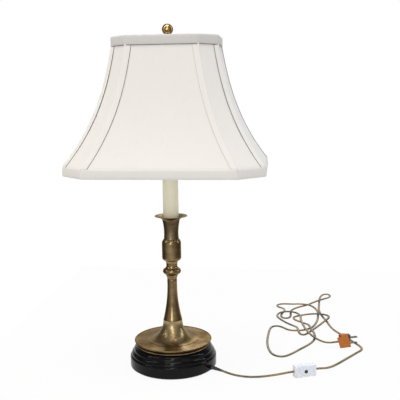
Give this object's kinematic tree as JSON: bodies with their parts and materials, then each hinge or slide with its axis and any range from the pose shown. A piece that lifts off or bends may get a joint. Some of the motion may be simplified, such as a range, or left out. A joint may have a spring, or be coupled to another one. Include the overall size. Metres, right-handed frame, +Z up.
{
  "type": "candlestick table lamp",
  "caption": "Brass candlestick table lamp with a round black base, a cut-corner bell shade on a harp, a ball finial and a cord with an inline switch.",
  "frame": {"origin": "on the floor under the lamp's upright axis, in the middle of the base", "axes": "+Z up along the stem, X along the shade's long side, -Y towards the viewer"},
  "size_m": [0.5965, 0.6721, 0.6945],
  "materials": {
    "felt": "matte felt",
    "black_lacquered_wood": "gloss black lacquer",
    "black_plastic": "smooth",
    "cast_iron": "rough",
    "zinc_steel": "zinc plated",
    "aged_brass": "aged satin",
    "cream_sleeve": "satin cream paint",
    "insulating_card": "matte",
    "bare_aluminium": "satin",
    "contact_brass": "bright",
    "white_glass": "frosted white",
    "white_wire": "white enamel",
    "shade_lining": "matte",
    "shade_fabric": "slubbed silk",
    "white_plastic": "smooth",
    "brown_plastic": "smooth",
    "plug_brass": "dull",
    "orange_card": "matte",
    "gold_cord": "translucent gold"
  },
  "bodies": {
    "lamp": {"felt_pad": "felt", "turned_base": "black_lacquered_wood", "cord_bushing": "black_plastic", "ballast": "cast_iron", "pipe_washer": "zinc_steel", "pipe_nut": "zinc_steel", "threaded_pipe": "zinc_steel", "foot_plate": "aged_brass", "foot_dish": "aged_brass", "trumpet": "aged_brass", "stem_cone": "aged_brass", "knob": "aged_brass", "collar": "aged_brass", "drip_cup": "aged_brass", "candle_sleeve": "cream_sleeve", "sleeve_cap": "aged_brass", "harp_saddle": "aged_brass", "socket_cap": "aged_brass", "socket_shell": "aged_brass", "socket_liner": "insulating_card", "socket_body": "black_plastic", "terminal_screws": "zinc_steel", "screw_shell": "bare_aluminium", "centre_contact": "contact_brass", "switch_front": "white_plastic", "switch_back": "white_plastic", "switch_screws": "zinc_steel", "switch_contacts": "contact_brass", "plug_body": "brown_plastic", "plug_blades": "plug_brass", "plug_tag": "orange_card", "cord_inside": "gold_cord", "cord_base_to_switch": "gold_cord", "cord_switch_to_plug": "gold_cord"},
    "bulb": {"bulb_base": "bare_aluminium", "bulb_glass": "white_glass"},
    "harp": {"harp": "aged_brass", "harp_stud": "aged_brass"},
    "ferrule_left": {"harp_ferrule_left": "aged_brass"},
    "ferrule_right": {"harp_ferrule_right": "aged_brass"},
    "shade": {"shade_top_ring": "white_wire", "shade_bottom_ring": "white_wire", "shade_ribs": "white_wire", "shade_spider": "aged_brass", "shade_lining": "shade_lining", "rib_strips": "shade_fabric", "top_band": "shade_fabric", "bottom_band": "shade_fabric", "shade_panel_right_back": "shade_fabric", "shade_panel_back": "shade_fabric", "shade_panel_left_back": "shade_fabric", "shade_panel_left": "shade_fabric", "shade_panel_left_front": "shade_fabric", "shade_panel_front": "shade_fabric", "shade_panel_right_front": "shade_fabric", "shade_panel_right": "shade_fabric"},
    "finial_seat": {"finial_washer": "aged_brass"},
    "finial": {"finial": "aged_brass"},
    "button": {"switch_button": "black_plastic"}
  },
  "joints": [
    {"name": "bulb_lift", "type": "slide", "parent": "lamp", "child": "bulb", "axis": [0, 0, 1], "range_m": [0, 0.028]},
    {"name": "harp_lift", "type": "slide", "parent": "lamp", "child": "harp", "axis": [0, 0, 1], "range_m": [0, 0.03]},
    {"name": "ferrule_left_lift", "type": "slide", "parent": "harp", "child": "ferrule_left", "axis": [0, 0, 1], "range_m": [0, 0.018]},
    {"name": "ferrule_right_lift", "type": "slide", "parent": "harp", "child": "ferrule_right", "axis": [0, 0, 1], "range_m": [0, 0.018]},
    {"name": "shade_turn", "type": "hinge", "parent": "harp", "child": "shade", "pos_m": [0, 0, 0.65], "axis": [0, 0, 1], "continuous": true},
    {"name": "finial_lift", "type": "slide", "parent": "harp", "child": "finial_seat", "axis": [0, 0, 1], "range_m": [0, 0.01]},
    {"name": "finial_turn", "type": "hinge", "parent": "finial_seat", "child": "finial", "pos_m": [0, 0, 0.66], "axis": [0, 0, 1], "range_deg": [0, 3820]},
    {"name": "switch_button_press", "type": "slide", "parent": "lamp", "child": "button", "axis": [-0.3827, 0.9239, 0], "range_m": [0, 0.0012], "stiffness_N_per_m": 800, "springref_m": -0.0005}
  ],
  "couplings": [
    {"joint": "finial_lift", "follows": "finial_turn", "m_per_rad": 0.00014972}
  ]
}
